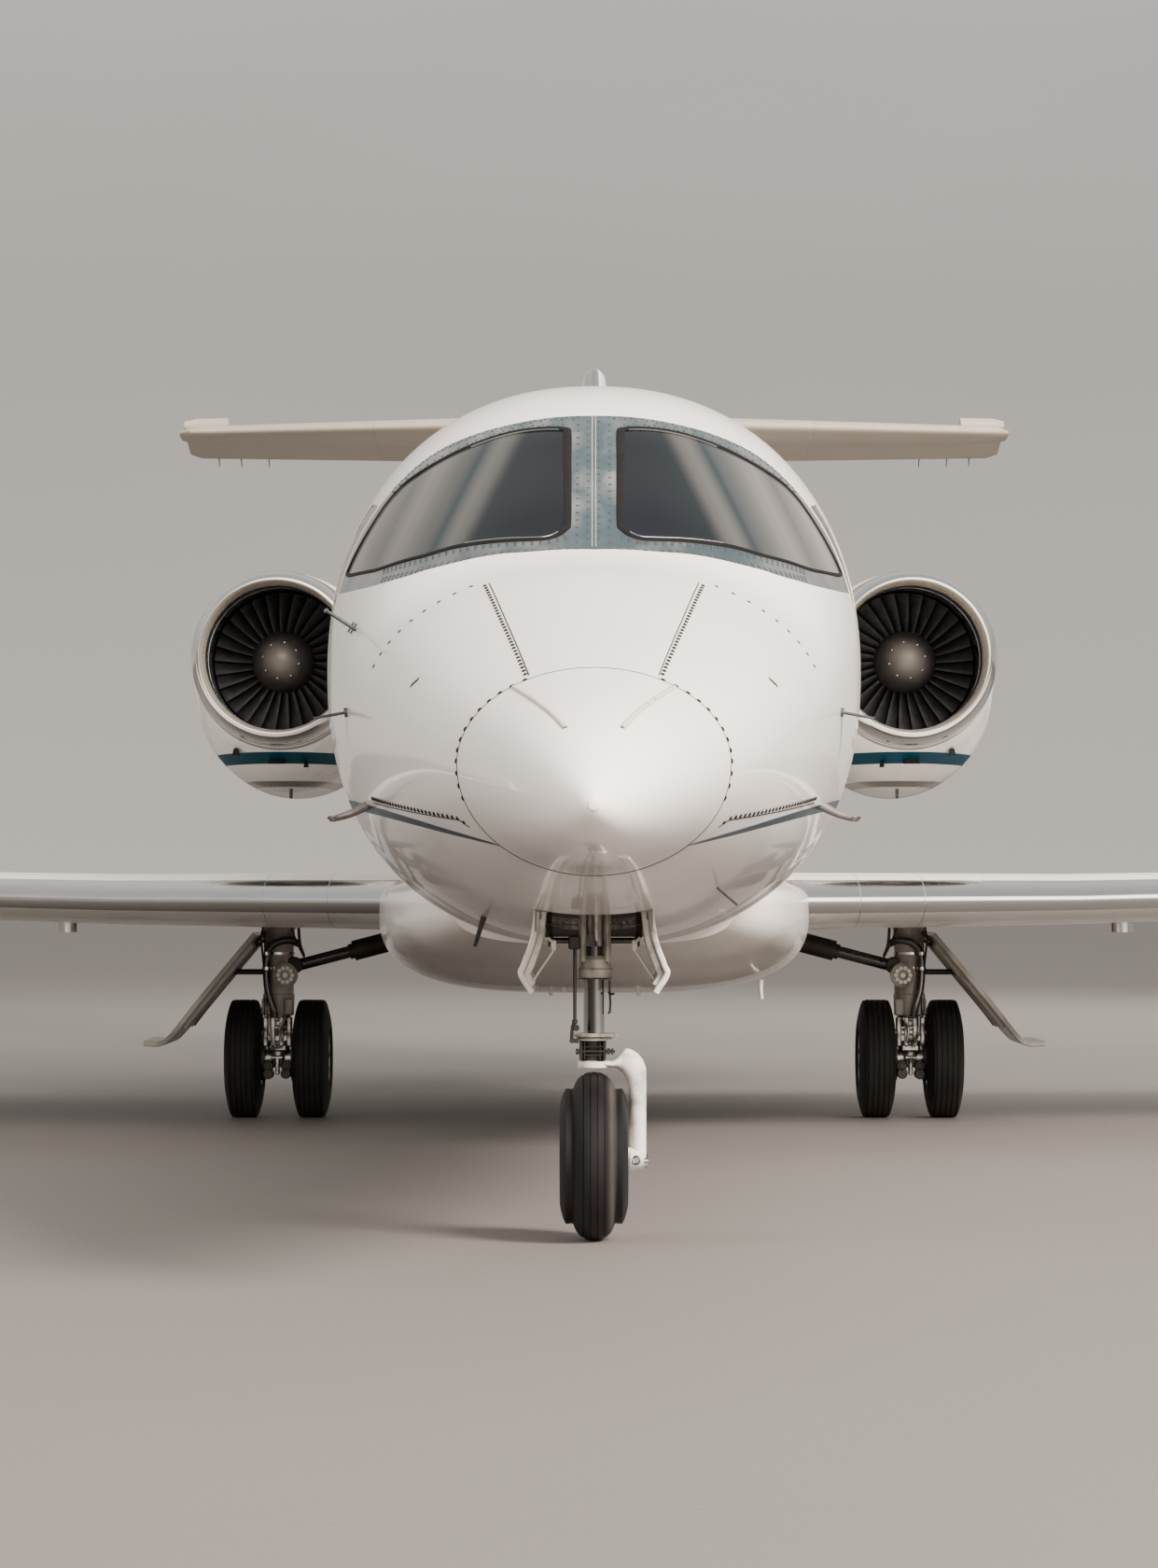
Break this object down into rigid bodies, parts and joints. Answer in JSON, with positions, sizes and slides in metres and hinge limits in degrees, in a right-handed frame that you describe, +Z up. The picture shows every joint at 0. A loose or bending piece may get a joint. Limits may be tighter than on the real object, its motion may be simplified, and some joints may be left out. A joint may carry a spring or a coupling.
{
  "type": "business jet",
  "caption": "Light business jet with a low wing, T-tail and rear engines, standing on its landing gear, with opening doors and moving control surfaces.",
  "frame": {"origin": "on the ground, on the plane of symmetry, halfway between the nose tip and the rearmost point", "axes": "+Z up, -Y towards the nose, +X towards the left wing"},
  "size_m": [13.382, 14.8281, 3.545],
  "materials": {
    "paint_white": "gloss",
    "composite_white": "gloss",
    "bare_metal": "polished",
    "engine_metal": "satin",
    "gear_metal": "satin",
    "gear_white": "gloss",
    "tyre": "matte",
    "glass": "polished",
    "cabin_trim": "matte",
    "seat_leather": "satin"
  },
  "bodies": {
    "airframe": {"radome": "composite_white", "nose_section": "paint_white", "windshield_frame": "bare_metal", "cockpit_shell": "paint_white", "windshield_left": "glass", "windshield_right": "glass", "cockpit_window_left": "glass", "cockpit_window_right": "glass", "cabin_crown": "paint_white", "cabin_side_left": "paint_white", "cabin_side_right": "paint_white", "cabin_windows_left": "glass", "cabin_windows_right": "glass", "cabin_floor": "cabin_trim", "instrument_panel": "cabin_trim", "aft_bulkhead": "cabin_trim", "pilot_seats": "seat_leather", "cabin_seats": "seat_leather", "belly_fairing": "composite_white", "wing_left": "paint_white", "wing_right": "paint_white", "inlet_lip_left": "bare_metal", "inlet_lip_right": "bare_metal", "nacelle_left": "composite_white", "nacelle_right": "composite_white", "engine_core_left": "engine_metal", "engine_core_right": "engine_metal", "pylon_left": "paint_white", "pylon_right": "paint_white", "tail_cone": "paint_white", "fin": "paint_white", "stabilizer": "paint_white", "main_strut_left": "gear_metal", "main_strut_right": "gear_metal", "main_gear_door_left": "paint_white", "main_gear_door_right": "paint_white", "nose_strut": "gear_metal", "nose_gear_door_left": "paint_white", "nose_gear_door_right": "paint_white"},
    "door_upper": {"entry_door_upper": "paint_white"},
    "door_lower": {"entry_door_lower": "paint_white"},
    "flap_left_body": {"flap_left": "paint_white"},
    "flap_right_body": {"flap_right": "paint_white"},
    "aileron_left_body": {"aileron_left": "paint_white"},
    "aileron_right_body": {"aileron_right": "paint_white"},
    "rudder_body": {"rudder": "paint_white"},
    "elevator_left_body": {"elevator_left": "paint_white"},
    "elevator_right_body": {"elevator_right": "paint_white"},
    "fan_left_body": {"fan_left": "engine_metal"},
    "fan_right_body": {"fan_right": "engine_metal"},
    "main_wheels_left": {"main_wheel_left": "gear_metal", "main_tyre_left_outer": "tyre", "main_tyre_left_inner": "tyre"},
    "main_wheels_right": {"main_wheel_right": "gear_metal", "main_tyre_right_outer": "tyre", "main_tyre_right_inner": "tyre"},
    "nose_leg": {"nose_fork": "gear_white"},
    "nose_wheels": {"nose_wheel": "gear_metal", "nose_tyre": "tyre"}
  },
  "joints": [
    {"name": "door_upper_hinge", "type": "hinge", "parent": "airframe", "child": "door_upper", "pos_m": [0.62668, -3.14, 2.1752], "axis": [-0.0725, -0.9974, 0], "range_deg": [0, 95]},
    {"name": "door_lower_hinge", "type": "hinge", "parent": "airframe", "child": "door_lower", "pos_m": [0.67334, -3.14, 1.0361], "axis": [0.0149, 0.9999, 0], "range_deg": [0, 120]},
    {"name": "flap_left_hinge", "type": "hinge", "parent": "airframe", "child": "flap_left_body", "pos_m": [2.375, 1.09593, 0.88059], "axis": [-0.9926, -0.12, -0.0173], "range_deg": [0, 35]},
    {"name": "flap_right_hinge", "type": "hinge", "parent": "airframe", "child": "flap_right_body", "pos_m": [-2.375, 1.09593, 0.88059], "axis": [-0.9926, 0.12, 0.0173], "range_deg": [0, 35]},
    {"name": "aileron_left_hinge", "type": "hinge", "parent": "airframe", "child": "aileron_left_body", "pos_m": [4.975, 1.42054, 0.94167], "axis": [0.9912, 0.1293, 0.0271], "range_deg": [-18, 18]},
    {"name": "aileron_right_hinge", "type": "hinge", "parent": "airframe", "child": "aileron_right_body", "pos_m": [-4.975, 1.42054, 0.94167], "axis": [0.9912, -0.1293, -0.0271], "range_deg": [-18, 18]},
    {"name": "rudder_hinge", "type": "hinge", "parent": "airframe", "child": "rudder_body", "pos_m": [0, 5.77574, 2.7225], "axis": [0, 0.5691, 0.8223], "range_deg": [-25, 25]},
    {"name": "elevator_left_hinge", "type": "hinge", "parent": "airframe", "child": "elevator_left_body", "pos_m": [1.175, 6.85367, 3.30959], "axis": [0.9582, 0.2852, 0.0201], "range_deg": [0, 34]},
    {"name": "elevator_right_hinge", "type": "hinge", "parent": "airframe", "child": "elevator_right_body", "pos_m": [-1.175, 6.85367, 3.30959], "axis": [0.9582, -0.2852, -0.0201], "range_deg": [0, 34]},
    {"name": "fan_left_spin", "type": "hinge", "parent": "airframe", "child": "fan_left_body", "pos_m": [1.315, 1.9, 1.865], "axis": [0, 1, 0], "continuous": true},
    {"name": "fan_right_spin", "type": "hinge", "parent": "airframe", "child": "fan_right_body", "pos_m": [-1.315, 1.9, 1.865], "axis": [0, 1, 0], "continuous": true},
    {"name": "main_wheels_left_spin", "type": "hinge", "parent": "airframe", "child": "main_wheels_left", "pos_m": [1.252, 0.685, 0.233], "axis": [1, 0, 0], "continuous": true},
    {"name": "main_wheels_right_spin", "type": "hinge", "parent": "airframe", "child": "main_wheels_right", "pos_m": [-1.252, 0.685, 0.233], "axis": [1, 0, 0], "continuous": true},
    {"name": "nose_steering", "type": "hinge", "parent": "airframe", "child": "nose_leg", "pos_m": [0, -5.465, 0.6], "axis": [0, 0, 1], "range_deg": [-60, 60]},
    {"name": "nose_wheel_spin", "type": "hinge", "parent": "nose_leg", "child": "nose_wheels", "pos_m": [0, -5.465, 0.2175], "axis": [1, 0, 0], "continuous": true}
  ],
  "couplings": [
    {"joint": "flap_right_hinge", "follows": "flap_left_hinge", "ratio": 1},
    {"joint": "aileron_right_hinge", "follows": "aileron_left_hinge", "ratio": -1},
    {"joint": "elevator_right_hinge", "follows": "elevator_left_hinge", "ratio": 1}
  ]
}
